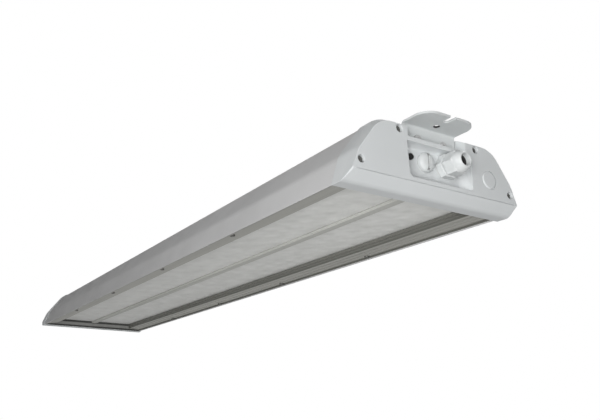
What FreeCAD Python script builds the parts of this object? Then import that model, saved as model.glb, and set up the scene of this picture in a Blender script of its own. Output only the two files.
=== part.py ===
import FreeCAD, Part
import math
import os
import re

import Sketcher
from FreeCAD import Placement, Rotation, Vector

# A linear industrial LED light. X runs along the light towards the end that takes the supply cable, Z is up.
# The origin is midway between the round fixing holes, on top of the bracket flanges.
# Heights in the sheet are measured up from the underside of the end caps, half widths from the middle plane.
SIZES = {
    # Whole light: end face to end face, and underside to the top of the brackets.
    "overall_length": 1200,
    "hang_height": 80.5,
    # Housing: lip at the bottom edge, soft bend in the wall, rounded shoulder at the flat top.
    "lip_half": 113,
    "lip_base": 1.5,
    "lip_wide": 1.5,
    "lip_corner": 1,
    "bend_half": 104.5,
    "bend_rise": 31,
    "bend_radius": 30,
    "crown_half": 72.8,
    "crown_rise": 74.5,
    "crown_radius": 24,
    "wall": 2.5,
    "wall_across": 3,
    # LED channel in the underside, the web over it and the rib of T section down its middle.
    "channel_half": 92,
    "channel_wall": 2,
    "ledge_base": 7.5,
    "ledge_thick": 3,
    "screw_groove": 6,
    "groove_wall": 1.5,
    "web_base": 24,
    "web_thick": 3,
    "rib_stem_half": 2.5,
    "rib_half": 6.5,
    "rib_base": 13,
    "rib_top": 16.2,
    "rib_bevel": 1.5,
    # Screw ports that run along the housing for the end cap screws.
    "port_radius": 4.5,
    "port_bore": 2.1,
    "screw_low_half": 102,
    "screw_low_rise": 20.1,
    "screw_high_half": 53,
    "screw_high_rise": 62.8,
    # End caps: rim outline, face outline, depth and how far the skirt laps over the joint.
    "cap_depth": 31.5,
    "cap_skirt": 3.5,
    "cap_rim_depth": 16,
    "rim_half": 115,
    "rim_bend_half": 106,
    "rim_bend_rise": 31.6,
    "rim_crown_half": 73.6,
    "rim_crown_rise": 76,
    "rim_corner_radius": 2.5,
    "face_half": 113,
    "face_base": 8.7,
    "face_bend_half": 104.3,
    "face_bend_rise": 31.4,
    "face_crown_half": 77.5,
    "face_crown_rise": 68.2,
    "face_crown_radius": 29,
    "face_edge": 1.2,
    "skirt_gap": 0.2,
    "seam_half": 108,
    "seam_inset": 0.6,
    "seam_wide": 0.8,
    "seam_depth": 1.4,
    # Recess for the cable entries, and the pocket over it for the bracket.
    "recess_left": 43.5,
    "recess_left_base": 41.2,
    "recess_right": 45,
    "recess_base": 14.7,
    "recess_top": 52.9,
    "recess_depth": 11.8,
    "recess_corner": 6,
    "recess_floor": 3,
    "pocket_left": 42.2,
    "pocket_right": 38,
    "pocket_base": 57.5,
    "pocket_depth": 16,
    # Hollows cored into the back of the caps.
    "core_base": 27,
    "core_middle_half": 46.5,
    "core_middle_top": 54,
    "core_side_half": 98,
    "core_side_top": 60,
    "core_side_depth": 24.5,
    "core_low_half": 92,
    "core_low_base": 6,
    "core_low_depth": 12,
    # Knock-out disc that stands a little proud of the face.
    "disc_side": 70.6,
    "disc_rise": 31.9,
    "disc_radius": 9.6,
    "disc_proud": 1,
    # End gaskets.
    "gasket_thick": 1.5,
    "gasket_inset": 0.6,
    "gasket_open_half": 94,
    "gasket_open_top": 54,
    # End cap screws.
    "cap_screw_radius": 2,
    "cap_screw_head": 3.6,
    "cap_screw_head_thick": 3,
    "cap_screw_sunk": 5,
    "cap_screw_hole": 4.1,
    "cap_screw_grip": 14,
    # Brackets folded from sheet.
    "sheet": 2.5,
    "bracket_half": 36.5,
    "bracket_foot": 58.2,
    "bracket_reach": 22.5,
    "bracket_fold": 2,
    "bracket_corner": 18,
    "bracket_hole": 3.5,
    "bracket_hole_inset": 2,
    "bracket_slot": 3.5,
    "bracket_slot_long": 13,
    "bracket_screw_half": 18,
    "bracket_screw_rise": 63.5,
    "bracket_screw_radius": 2.45,
    "bracket_screw_head": 4.5,
    "bracket_screw_head_thick": 2.8,
    "bracket_screw_long": 10,
    # Rails.
    "rail_half": 83,
    "rail_step": 1.5,
    "rail_step_rise": 11.4,
    "rail_base": 6,
    "rail_bevel": 2,
    "rail_drop": 0.8,
    "rail_step_first": 92,
    "rail_step_pitch": 8,
    "rail_thick": 2,
    "rail_outer": 109.5,
    "rail_edge": 1.6,
    "rail_edge_base": 2.2,
    "rail_top": 15.5,
    "rail_foot": 91.4,
    "rail_screw_half": 104.5,
    "rail_screw_count": 4,
    "rail_screw_radius": 1.9,
    "rail_screw_head": 3.3,
    "rail_screw_head_thick": 2.2,
    "rail_screw_long": 8,
    # Lens panels and their sealing strips.
    "lens_inner": 3,
    "lens_outer": 91,
    "lens_base": 16.5,
    "lens_thick": 3,
    "seal_wide": 5,
    # LED boards, four to a side.
    "board_count": 4,
    "board_long": 278,
    "board_wide": 74,
    "board_thick": 1.6,
    "board_middle": 45,
    # Cable gland with a 20 mm thread and blanking plug with a 16 mm one, side by side in the recess.
    "entry_rise": 38,
    "entry_radius": 10,
    "entry_gap": 0.1,
    "passage_gap": 0.2,
    "washer_thick": 1.2,
    "gland_side": 16.7,
    "gland_flats": 24,
    "gland_hex_long": 8,
    "gland_bore": 7,
    "gland_neck": 9,
    "gland_neck_long": 5,
    "gland_stem_long": 13,
    "gland_washer_radius": 11.8,
    "nut_start": 10.2,
    "nut_flats": 23,
    "nut_hex_long": 13,
    "nut_dome_long": 8.6,
    "nut_lip_radius": 8,
    "nut_thread_long": 10,
    "nut_throat": 6.5,
    "seal_sleeve": 6.4,
    "seal_bore": 5,
    "seal_start": 8.4,
    "seal_long": 17.4,
    "plug_side": -10.8,
    "plug_entry": 8,
    "plug_radius": 10.5,
    "plug_thick": 6,
    "plug_rim": 1.6,
    "plug_dome": 2.6,
    "plug_slot_wide": 2.6,
    "plug_slot_long": 16,
    "plug_slot_depth": 2.2,
    "plug_washer_radius": 10.2,
    "vent_side": -30.8,
    "vent_rise": 40.8,
    "vent_radius": 3.4,
    "vent_thick": 3,
    "vent_bevel": 0.8,
    "vent_stem": 2.4,
    "vent_stem_long": 9,
    # Driver, terminals and leads in the gear chamber.
    "driver_start": 100,
    "driver_long": 300,
    "driver_wide": 72,
    "driver_tall": 34,
    "driver_edge": 3,
    "driver_foot_long": 14,
    "driver_foot_thick": 2.5,
    "driver_screw_radius": 2,
    "driver_screw_head": 3.8,
    "driver_screw_head_thick": 2.6,
    "terminal_start": 476,
    "terminal_long": 22,
    "terminal_wide": 42,
    "terminal_tall": 20,
    "terminal_step": 7,
    "lead_radius": 1.5,
    "lead_rise": 43,
    "mains_lead_pitch": 11,
    "output_lead_side": 20,
    "output_lead_end": 62,
}

doc = FreeCAD.newDocument("linear_light")
sheet = doc.addObject("Spreadsheet::Sheet", "Sizes")
for row, (alias, value) in enumerate(SIZES.items(), start=1):
    sheet.set(f"A{row}", alias)
    sheet.set(f"B{row}", str(value))
    sheet.setAlias(f"B{row}", alias)
doc.recompute()

sub_parts = []


def bound(expression):
    """Rewrites a formula on the sheet's names as an expression that other objects can use."""
    return re.sub(r"[a-z]\w*", lambda word: f"Sizes.{word[0]}" if word[0] in SIZES else word[0], expression)


def measure(expression):
    """Value of a formula on the sheet's names."""
    return float(sheet.evalExpression(expression))


def bind(item, **formulas):
    """Binds properties of an object to formulas; double underscores in a name stand for dots."""
    for name, formula in formulas.items():
        item.setExpression(name.replace("__", "."), bound(formula))


def sub_part(item, label, x="0", y="0", turned=False):
    """Names an object as a sub-part and places it, turned end for end where asked."""
    item.Label = label
    item.Placement = Placement(Vector(), Rotation(Vector(0, 0, 1), 180 if turned else 0))
    bind(item, Placement__Base__x=x, Placement__Base__y=y, Placement__Base__z="-hang_height")
    sub_parts.append(item)
    return item


def new_body(label, **place):
    return sub_part(doc.addObject("PartDesign::Body", label), label, **place)


def new_sketch(body, plane, offset="0"):
    """Sketch on one of the body's own planes, moved along that plane's normal."""
    sketch = body.newObject("Sketcher::SketchObject", f"{body.Label}_sketch")
    support = next(item for item in body.Origin.OriginFeatures if item.Role == plane)
    sketch.AttachmentSupport = [(support, "")]
    sketch.MapMode = "FlatFace"
    bind(sketch, AttachmentOffset__Base__z=offset)
    return sketch


def hold_point(sketch, geometry, position, x, y):
    """Fixes a point of a sketch at two formulas."""
    for kind, axis, formula in (("DistanceX", -2, x), ("DistanceY", -1, y)):
        if formula == "0":
            sketch.addConstraint(Sketcher.Constraint("PointOnObject", geometry, position, axis))
            continue
        constraint = Sketcher.Constraint(kind, -1, 1, geometry, position, measure(formula))
        index = sketch.addConstraint(constraint)
        sketch.setExpression(f"Constraints[{index}]", bound(formula))


def add_circle(sketch, x, y, radius):
    centre = Vector(measure(x), measure(y), 0)
    circle = sketch.addGeometry(Part.Circle(centre, Vector(0, 0, 1), measure(radius)))
    hold_point(sketch, circle, 3, x, y)
    index = sketch.addConstraint(Sketcher.Constraint("Radius", circle, measure(radius)))
    sketch.setExpression(f"Constraints[{index}]", bound(radius))


def add_polygon(sketch, x, y, radius, sides):
    """Few-sided hole that clears a bar of the given radius: the middles of its sides are that far out."""
    corners = []
    for number in range(sides):
        angle = 2 * math.pi * (number + 0.5) / sides
        across = round(math.cos(angle) / math.cos(math.pi / sides), 5)
        along = round(math.sin(angle) / math.cos(math.pi / sides), 5)
        corners.append((f"{x} + {across} * ({radius})", f"{y} + {along} * ({radius})"))
    add_outline(sketch, corners)


def add_outline(sketch, corners):
    """Closed outline through corners given anticlockwise as (x, y) or (x, y, radius) formulas."""
    count = len(corners)
    points = [Vector(measure(corner[0]), measure(corner[1]), 0) for corner in corners]
    entries, exits, centres = [], [], []
    for i, corner in enumerate(corners):
        if len(corner) == 2:
            entries.append(points[i])
            exits.append(points[i])
            centres.append(None)
            continue
        back = (points[i - 1] - points[i]).normalize()
        ahead = (points[(i + 1) % count] - points[i]).normalize()
        half_angle = back.getAngle(ahead) / 2
        radius = measure(corner[2])
        entries.append(points[i] + back * (radius / math.tan(half_angle)))
        exits.append(points[i] + ahead * (radius / math.tan(half_angle)))
        centres.append(points[i] + (back + ahead).normalize() * (radius / math.sin(half_angle)))
    lines = []
    for i in range(count):
        line = Part.LineSegment(exits[i], entries[(i + 1) % count])
        lines.append(sketch.addGeometry(line))
    for i, corner in enumerate(corners):
        before, after = lines[i - 1], lines[i]
        if len(corner) == 2:
            sketch.addConstraint(Sketcher.Constraint("Coincident", before, 2, after, 1))
            hold_point(sketch, after, 1, corner[0], corner[1])
            continue
        add_round(sketch, corner, points[i], centres[i], (before, entries[i]), (after, exits[i]))


def add_round(sketch, corner, point, centre, before, after):
    """Rounds one corner of an outline with an arc that is tangent to both of its lines."""
    (line_in, entry), (line_out, leave) = before, after
    leftward = (point - entry).cross(leave - point).z > 0
    first, last = (entry, leave) if leftward else (leave, entry)
    start = math.atan2(first.y - centre.y, first.x - centre.x)
    end = math.atan2(last.y - centre.y, last.x - centre.x)
    circle = Part.Circle(centre, Vector(0, 0, 1), (entry - centre).Length)
    arc = sketch.addGeometry(Part.ArcOfCircle(circle, start, end))
    mark = sketch.addGeometry(Part.Point(point), True)
    hold_point(sketch, mark, 1, corner[0], corner[1])
    sketch.addConstraint(Sketcher.Constraint("PointOnObject", mark, 1, line_in))
    sketch.addConstraint(Sketcher.Constraint("PointOnObject", mark, 1, line_out))
    entry_end, leave_end = (1, 2) if leftward else (2, 1)
    sketch.addConstraint(Sketcher.Constraint("Tangent", line_in, 2, arc, entry_end))
    sketch.addConstraint(Sketcher.Constraint("Tangent", arc, leave_end, line_out, 1))
    index = sketch.addConstraint(Sketcher.Constraint("Radius", arc, (entry - centre).Length))
    sketch.setExpression(f"Constraints[{index}]", bound(corner[2]))


def mirrored(half):
    """Whole outline from its right half, listed from the bottom middle round to the top middle."""
    return half + [(f"-({corner[0]})", *corner[1:]) for corner in reversed(half)]


def box_corners(x_low, x_high, y_low, y_high):
    return [(x_low, y_low), (x_high, y_low), (x_high, y_high), (x_low, y_high)]


def extrude(body, kind, sketch, length, symmetric=False, reverse=False):
    """Pad or Pocket of a sketch; stops if it leaves the body's volume as it was."""
    volume = body.Shape.Volume if body.Tip else 0
    feature = body.newObject(f"PartDesign::{kind}", f"{sketch.Name}_{kind.lower()}")
    feature.Profile = sketch
    bind(feature, Length=length)
    feature.SideType = "Symmetric" if symmetric else "One side"
    feature.Reversed = reverse
    doc.recompute()
    change = body.Shape.Volume - volume
    if (change <= 0) == (kind == "Pad"):
        raise ValueError(f"{feature.Name} changes nothing")
    return feature


def pad(body, sketch, length, **options):
    return extrude(body, "Pad", sketch, length, **options)


def pocket(body, sketch, length, **options):
    return extrude(body, "Pocket", sketch, length, **options)


def pattern_along(body, feature, sketch, length, count):
    """Repeats a feature in a row along its sketch's first axis."""
    row = body.newObject("PartDesign::LinearPattern", f"{feature.Name}_row")
    row.Originals = [feature]
    row.Direction = (sketch, ["H_Axis"])
    bind(row, Length=length, Occurrences=count)
    body.Tip = row
    doc.recompute()
    return row


def round_edges(body, chosen, radius):
    """Fillets those edges of the body for which the test is true."""
    base = body.Tip
    names = [f"Edge{i}" for i, edge in enumerate(base.Shape.Edges, start=1) if chosen(edge)]
    fillet = body.newObject("PartDesign::Fillet", f"{body.Label}_fillet")
    fillet.Base = (base, names)
    bind(fillet, Radius=radius)
    doc.recompute()
    return fillet


def along_x(item, x, side="0", rise="0"):
    """Turns a primitive's own axis along X, its first corner along Y, and sets its place on the light."""
    onto_x = Rotation(Vector(0, 1, 0), 90) * Rotation(Vector(0, 0, 1), 90)
    item.Placement = Placement(Vector(), onto_x)
    bind(item, Placement__Base__x=x, Placement__Base__y=side, Placement__Base__z=rise)
    return item


def cylinder(name, radius, height):
    item = doc.addObject("Part::Cylinder", name)
    bind(item, Radius=radius, Height=height)
    return item


def prism(name, sides, radius, height):
    """Few-sided bar that fits inside a round one of the given radius."""
    item = doc.addObject("Part::Prism", name)
    item.Polygon = sides
    bind(item, Circumradius=radius, Height=height)
    return item


def bevelled(name, sides, radius, height, *bevels):
    """Few-sided bar whose far end is bevelled in turn by each (inward, down)."""
    item = prism(name, sides, radius, height)
    for number, (inward, down) in enumerate(bevels):
        doc.recompute()
        top = item.Shape.BoundBox.ZMax
        edges = [i for i, edge in enumerate(item.Shape.Edges, start=1) if edge.BoundBox.ZMin > top - 0.01]
        bevel = doc.addObject("Part::Chamfer", f"{name}_bevel_{number}")
        bevel.Base = item
        bevel.Edges = [(i, measure(down), measure(inward)) for i in edges]
        item = bevel
    return item


def hexagon(name, flats, height):
    """Hexagonal bar; along X it has a flat on top."""
    return prism(name, 6, f"{flats} / sqrt(3)", height)


def screw(name, head, shank):
    """Screw as a few-sided head and shank, each given as (radius, height, x, side, rise) and turned along X."""
    pieces = []
    for part_name, sides, (radius, height, *place) in (("head", 10, head), ("shank", 6, shank)):
        pieces.append(along_x(prism(f"{name}_{part_name}", sides, radius, height), *place))
    return fuse(name, *pieces)


def fuse(name, *items):
    item = doc.addObject("Part::MultiFuse", name)
    item.Shapes = list(items)
    return item


def cut(name, base, *tools):
    for number, tool in enumerate(tools, start=1):
        item = doc.addObject("Part::Cut", f"{name}_cut_{number}")
        item.Base = base
        item.Tool = tool
        base = item
    return base


def screw_group(label, screws):
    """Group of separate screws that share a node."""
    group = doc.addObject("Part::Compound", label)
    group.Links = screws
    return sub_part(group, label)


# Formulas that several pieces share: places along the light, and the outer wall's half width at a height.
FACE = "(overall_length / 2)"
SEAT = "(overall_length / 2 - cap_depth + cap_skirt)"
HOUSING_END = f"({SEAT} - gasket_thick)"
RECESS_FLOOR = f"({FACE} - recess_depth)"
POCKET_BACK = f"({FACE} - pocket_depth)"
RAIL_SEAT = "(rail_base - 2 * rail_drop)"
RAIL_SCREW_PITCH = f"(2 * {HOUSING_END} / (rail_screw_count + 1))"
SCREW_PASSAGE = "cap_screw_radius + passage_gap"
ENDS = {"supply": False, "far": True}
SIDES = {"right": False, "left": True}


def low_wall(height):
    return f"(lip_half - ({height} - lip_base) * (lip_half - bend_half) / (bend_rise - lip_base))"


def high_wall(height):
    return f"(bend_half - ({height} - bend_rise) * (bend_half - crown_half) / (crown_rise - bend_rise))"


def lip_outline(gap):
    """Bevelled corner at the foot of the wall, moved out by a gap."""
    bevel_top = "lip_base + lip_corner"
    return [
        (f"lip_half - lip_corner + {gap}", f"lip_base - {gap}"),
        (f"{low_wall(bevel_top)} + {gap}", bevel_top),
    ]


def cap_screw_places():
    """Side and rise of the four end cap screws."""
    low = [("screw_low_half", "screw_low_rise"), ("-screw_low_half", "screw_low_rise")]
    high = [("screw_high_half", "screw_high_rise"), ("-screw_high_half", "screw_high_rise")]
    return low + high


def make_housing():
    """Extruded body: sloping outer walls, gear chamber, LED channel with its rib, and screw ports."""
    body = new_body("housing")
    section = new_sketch(body, "YZ_Plane")
    lip_inner = f"{low_wall('ledge_base')} - lip_wide"
    groove_half = "(rail_screw_radius + entry_gap / 2)"
    groove_top = "ledge_base + screw_groove"
    add_outline(section, mirrored([
        ("rib_half - rib_bevel", "rib_base"),
        ("rib_half", "rib_base + rib_bevel"),
        ("rib_half", "rib_top"),
        ("rib_stem_half", "rib_top"),
        ("rib_stem_half", "web_base"),
        ("channel_half", "web_base"),
        ("channel_half", "ledge_base"),
        (f"rail_screw_half - {groove_half}", "ledge_base"),
        (f"rail_screw_half - {groove_half}", groove_top),
        (f"rail_screw_half + {groove_half}", groove_top),
        (f"rail_screw_half + {groove_half}", "ledge_base"),
        (lip_inner, "ledge_base"),
        ("lip_half - lip_wide", "lip_base"),
        *lip_outline("0"),
        ("bend_half", "bend_rise", "bend_radius"),
        ("crown_half", "crown_rise", "crown_radius"),
    ]))
    web_top = "web_base + web_thick"
    chamber_top = "crown_rise - wall"
    add_outline(section, mirrored([
        (f"{low_wall(web_top)} - wall_across", web_top),
        ("bend_half - wall_across", "bend_rise"),
        (f"{high_wall(chamber_top)} - wall_across", chamber_top, "crown_radius - wall"),
    ]))
    ledge_top = "ledge_base + ledge_thick"
    side_inner = "channel_half + channel_wall"
    side_chamber = [
        (side_inner, ledge_top),
        (f"rail_screw_half - {groove_half} - groove_wall", ledge_top),
        (f"rail_screw_half - {groove_half} - groove_wall", f"{groove_top} + groove_wall"),
        (f"{low_wall(groove_top + ' + groove_wall')} - wall_across", f"{groove_top} + groove_wall"),
        (f"{low_wall('web_base')} - wall_across", "web_base"),
        (side_inner, "web_base"),
    ]
    add_outline(section, side_chamber)
    add_outline(section, [(f"-({x})", y) for x, y in reversed(side_chamber)])
    pad(body, section, f"2 * {HOUSING_END}", symmetric=True)

    ports = new_sketch(body, "YZ_Plane")
    for sign in ("", "-"):
        low, high = f"{sign}screw_low_half", f"{sign}screw_high_half"
        add_polygon(ports, low, "screw_low_rise", "port_radius", 12)
        add_polygon(ports, low, "screw_low_rise", "port_bore", 8)
        port_base = "screw_high_rise - port_radius"
        add_outline(ports, [
            (f"{high} - port_radius", f"{port_base} + port_radius / 2"),
            (f"{high} - port_radius / 2", port_base),
            (f"{high} + port_radius / 2", port_base),
            (f"{high} + port_radius", f"{port_base} + port_radius / 2"),
            (f"{high} + port_radius", "crown_rise - wall / 2"),
            (f"{high} - port_radius", "crown_rise - wall / 2"),
        ])
        add_polygon(ports, high, "screw_high_rise", "port_bore", 8)
    pad(body, ports, f"2 * {HOUSING_END}", symmetric=True)

    lead_slot = new_sketch(body, "XY_Plane", "web_base")
    slot_side = "output_lead_side + 2 * lead_radius"
    add_outline(lead_slot, box_corners("output_lead_end - 2 * lead_radius", "output_lead_end + 2 * lead_radius",
                                       f"-({slot_side})", slot_side))
    pocket(body, lead_slot, "web_thick", reverse=True)


def rim_outline():
    return mirrored([
        ("rim_half", "0", "rim_corner_radius"),
        ("rim_bend_half", "rim_bend_rise", "bend_radius"),
        ("rim_crown_half", "rim_crown_rise", "crown_radius + wall"),
    ])


def face_outline(inset):
    return mirrored([
        (f"face_half - {inset}", f"face_base + {inset}", "rim_corner_radius"),
        (f"face_bend_half - {inset}", "face_bend_rise", "bend_radius"),
        (f"face_crown_half - {inset} / 2", f"face_crown_rise - {inset}", "face_crown_radius"),
    ])


def make_end_cap(label, turned, entries):
    """Cast cap: straight rim, bevelled front with a seam, entry recess, bracket pocket and cored back."""
    shift = f"-{SEAT}" if turned else SEAT
    body = new_body(label, x=shift, turned=turned)
    bevel_start = "cap_rim_depth - cap_skirt"
    face_place = "cap_depth - cap_skirt"
    rim = new_sketch(body, "YZ_Plane", bevel_start)
    add_outline(rim, rim_outline())
    brow = new_sketch(body, "YZ_Plane", f"{face_place} - face_edge")
    add_outline(brow, face_outline("0"))
    face = new_sketch(body, "YZ_Plane", face_place)
    add_outline(face, face_outline("face_edge"))
    bevel = body.newObject("PartDesign::AdditiveLoft", f"{label}_bevel")
    bevel.Profile = rim
    bevel.Sections = [brow, face]
    bevel.Ruled = True
    doc.recompute()

    rim_back = new_sketch(body, "YZ_Plane", bevel_start)
    add_outline(rim_back, rim_outline())
    pad(body, rim_back, bevel_start, reverse=True)

    skirt = new_sketch(body, "YZ_Plane")
    add_outline(skirt, rim_outline())
    add_outline(skirt, mirrored([
        *lip_outline("skirt_gap"),
        ("bend_half + skirt_gap", "bend_rise", "bend_radius"),
        ("crown_half + skirt_gap", "crown_rise + skirt_gap", "crown_radius"),
    ]))
    pad(body, skirt, "cap_skirt", reverse=True)

    recess = new_sketch(body, "YZ_Plane", face_place)
    add_outline(recess, [
        ("-recess_left_base", "recess_base", "recess_corner"),
        ("recess_right", "recess_base", "recess_corner / 2"),
        ("recess_right", "recess_top"),
        ("-recess_left", "recess_top"),
    ])
    pocket(body, recess, "recess_depth")

    seam = new_sketch(body, "YZ_Plane", face_place)
    seam_base = "face_base + seam_inset"
    add_outline(seam, box_corners("-seam_half", "seam_half", seam_base, f"{seam_base} + seam_wide"))
    pocket(body, seam, "seam_depth")

    bracket_pocket = new_sketch(body, "YZ_Plane", face_place)
    add_outline(bracket_pocket, box_corners("-pocket_left", "pocket_right", "pocket_base", "hang_height"))
    pocket(body, bracket_pocket, "pocket_depth")

    disc = new_sketch(body, "YZ_Plane", face_place)
    add_polygon(disc, "disc_side", "disc_rise", "disc_radius", 24)
    pad(body, disc, "disc_proud")

    for radius, sides, depth in (("cap_screw_hole", 12, "cap_screw_sunk"), (SCREW_PASSAGE, 8, face_place)):
        holes = new_sketch(body, "YZ_Plane", face_place)
        for side, rise in cap_screw_places():
            add_polygon(holes, side, rise, radius, sides)
        pocket(body, holes, depth)

    bracket_holes = new_sketch(body, "YZ_Plane", f"{face_place} - pocket_depth")
    for side in ("bracket_screw_half", "-bracket_screw_half"):
        add_polygon(bracket_holes, side, "bracket_screw_rise", "bracket_screw_radius + entry_gap", 8)
    pocket(body, bracket_holes, "bracket_screw_long")

    middle_core = new_sketch(body, "YZ_Plane")
    add_outline(middle_core, box_corners("-core_middle_half", "core_middle_half", "core_base", "core_middle_top"))
    pocket(body, middle_core, f"{face_place} - recess_depth - recess_floor", reverse=True)
    side_cores = new_sketch(body, "YZ_Plane")
    side_core = [
        ("core_middle_half + recess_floor", "core_base"),
        ("core_side_half", "core_base"),
        ("core_side_half - recess_floor", "core_base + wall_across"),
        ("core_side_half - 2 * wall_across - port_radius * 3", "core_side_top"),
        ("screw_high_half + 2 * port_radius", "core_side_top"),
        ("screw_high_half + 2 * port_radius", "core_middle_top"),
        ("core_middle_half + recess_floor", "core_middle_top"),
    ]
    add_outline(side_cores, side_core)
    add_outline(side_cores, [(f"-({x})", y) for x, y in reversed(side_core)])
    pocket(body, side_cores, "core_side_depth", reverse=True)
    low_core = new_sketch(body, "YZ_Plane")
    add_outline(low_core, box_corners("-core_low_half", "core_low_half", "core_low_base", "web_base"))
    pocket(body, low_core, "core_low_depth", reverse=True)

    if entries:
        entry_holes = new_sketch(body, "YZ_Plane", f"{face_place} - recess_depth")
        for side, rise, radius in (("gland_side", "entry_rise", "entry_radius"),
                                   ("plug_side", "entry_rise", "plug_entry"),
                                   ("vent_side", "vent_rise", "vent_stem")):
            add_polygon(entry_holes, side, rise, f"{radius} + entry_gap", 12)
        pocket(body, entry_holes, "2 * recess_floor")


def make_end_gasket(label, turned):
    """Flat sealing sheet between a cap and the housing, open over the gear chamber."""
    shift = f"-{HOUSING_END}" if turned else HOUSING_END
    body = new_body(label, x=shift, turned=turned)
    sketch = new_sketch(body, "YZ_Plane")
    add_outline(sketch, mirrored([
        ("lip_half - 2 * gasket_inset", "lip_base + gasket_inset"),
        ("bend_half - gasket_inset", "bend_rise", "bend_radius"),
        ("crown_half - gasket_inset", "crown_rise - gasket_inset", "crown_radius"),
    ]))
    add_outline(sketch, mirrored([
        ("gasket_open_half", "core_base + gasket_inset"),
        ("gasket_open_half - port_radius * 4", "gasket_open_top"),
    ]))
    for side, rise in cap_screw_places():
        add_polygon(sketch, side, rise, f"{SCREW_PASSAGE} + passage_gap", 8)
    pad(body, sketch, "gasket_thick")


def make_cap_screws(label, turned):
    """Four screws, each from the bottom of its sunk hole through cap and gasket into a screw port."""
    screws = []
    for number, (side, rise) in enumerate(cap_screw_places(), start=1):
        head_back = f"({FACE} - cap_screw_sunk)"
        shank_end = f"({HOUSING_END} - cap_screw_grip)"
        screws.append(screw(
            f"{label}_{number}",
            ("cap_screw_head", "cap_screw_head_thick", head_back, side, rise),
            ("cap_screw_radius", f"{head_back} - {shank_end}", shank_end, side, rise)))
    group = screw_group(label, screws)
    group.Placement = Placement(group.Placement.Base, Rotation(Vector(0, 0, 1), 180 if turned else 0))


def make_bracket(label, turned):
    """Folded sheet: a leg that stands in the cap's pocket and a flange that reaches out over the end."""
    body = new_body(label, turned=turned)
    profile = new_sketch(body, "XZ_Plane")
    leg_front = f"{POCKET_BACK} + sheet"
    flange_edge = f"{FACE} + bracket_reach"
    flange_base = "hang_height - sheet"
    add_outline(profile, [
        (POCKET_BACK, "bracket_foot"),
        (leg_front, "bracket_foot"),
        (leg_front, flange_base, "bracket_fold"),
        (flange_edge, flange_base),
        (flange_edge, "hang_height"),
        (POCKET_BACK, "hang_height", "bracket_fold + sheet"),
    ])
    pad(body, profile, "2 * bracket_half", symmetric=True)
    tip = measure(flange_edge)
    foot = measure("bracket_foot")
    round_edges(body, lambda edge: edge.BoundBox.XMin > tip - 0.01 and edge.BoundBox.YLength < 0.01,
                "bracket_corner")
    round_edges(body, lambda edge: edge.BoundBox.ZMax < foot + 0.01 and edge.BoundBox.YLength < 0.01,
                "2 * sheet")

    openings = new_sketch(body, "XY_Plane", "hang_height")
    add_circle(openings, f"{FACE} - bracket_hole_inset", "0", "bracket_hole")
    slot_end = f"{flange_edge} - bracket_slot_long"
    nearly_round = "0.98 * bracket_slot"
    add_outline(openings, [
        (slot_end, "-bracket_slot", nearly_round),
        (f"{flange_edge} + sheet", "-bracket_slot"),
        (f"{flange_edge} + sheet", "bracket_slot"),
        (slot_end, "bracket_slot", nearly_round),
    ])
    pocket(body, openings, "2 * sheet")

    holes = new_sketch(body, "YZ_Plane", leg_front)
    for side in ("bracket_screw_half", "-bracket_screw_half"):
        add_polygon(holes, side, "bracket_screw_rise", "bracket_screw_radius + passage_gap", 8)
    pocket(body, holes, "2 * sheet")


def make_bracket_screws(label, turned):
    screws = []
    for number, side in enumerate(("bracket_screw_half", "-bracket_screw_half"), start=1):
        head_back = f"({POCKET_BACK} + sheet)"
        shank_long = "(bracket_screw_long + sheet - 0.5)"
        screws.append(screw(
            f"{label}_{number}",
            ("bracket_screw_head", "bracket_screw_head_thick", head_back, side, "bracket_screw_rise"),
            ("bracket_screw_radius", shank_long, f"{head_back} - {shank_long}", side, "bracket_screw_rise")))
    group = screw_group(label, screws)
    group.Placement = Placement(group.Placement.Base, Rotation(Vector(0, 0, 1), 180 if turned else 0))


def make_rail(label, turned):
    """Bare extrusion under the ledge: stepped flange with a turned-down edge, inner wall, foot behind the lens."""
    body = new_body(label, turned=turned)
    section = new_sketch(body, "YZ_Plane")
    wall_face = "rail_half + rail_step"
    second_step = "rail_step_first + rail_step_pitch"
    edge_face = "rail_outer - rail_edge"
    add_outline(section, [
        (f"{wall_face} + rail_bevel", "rail_base"),
        ("rail_step_first", "rail_base"),
        ("rail_step_first", "rail_base - rail_drop"),
        (second_step, "rail_base - rail_drop"),
        (second_step, RAIL_SEAT),
        (edge_face, RAIL_SEAT),
        (edge_face, "rail_edge_base"),
        ("rail_outer", "rail_edge_base"),
        ("rail_outer", "ledge_base"),
        (f"{wall_face} + rail_thick", "ledge_base"),
        (f"{wall_face} + rail_thick", "rail_top - rail_thick"),
        ("rail_foot", "rail_top - rail_thick"),
        ("rail_foot", "rail_top"),
        ("rail_half", "rail_top"),
        ("rail_half", "rail_step_rise"),
        (wall_face, "rail_step_rise"),
        (wall_face, "rail_base + rail_bevel"),
    ])
    pad(body, section, f"2 * {HOUSING_END}", symmetric=True)
    holes = new_sketch(body, "XY_Plane", RAIL_SEAT)
    add_polygon(holes, f"-1.5 * {RAIL_SCREW_PITCH}", "rail_screw_half", "rail_screw_radius + passage_gap", 8)
    drilled = pocket(body, holes, f"ledge_base - {RAIL_SEAT}", reverse=True)
    pattern_along(body, drilled, holes, f"3 * {RAIL_SCREW_PITCH}", "rail_screw_count")


def make_rail_screws(label, turned):
    screws = []
    side = "-rail_screw_half" if turned else "rail_screw_half"
    for number in range(SIZES["rail_screw_count"]):
        place = f"({number} - 1.5) * {RAIL_SCREW_PITCH}"
        head = prism(f"{label}_head_{number}", 10, "rail_screw_head", "rail_screw_head_thick")
        shank = prism(f"{label}_shank_{number}", 6, "rail_screw_radius", "rail_screw_long")
        bind(head, Placement__Base__x=place, Placement__Base__y=side,
             Placement__Base__z=f"{RAIL_SEAT} - rail_screw_head_thick")
        bind(shank, Placement__Base__x=place, Placement__Base__y=side, Placement__Base__z=RAIL_SEAT)
        screws.append(fuse(f"{label}_screw_{number}", head, shank))
    screw_group(label, screws)


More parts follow.
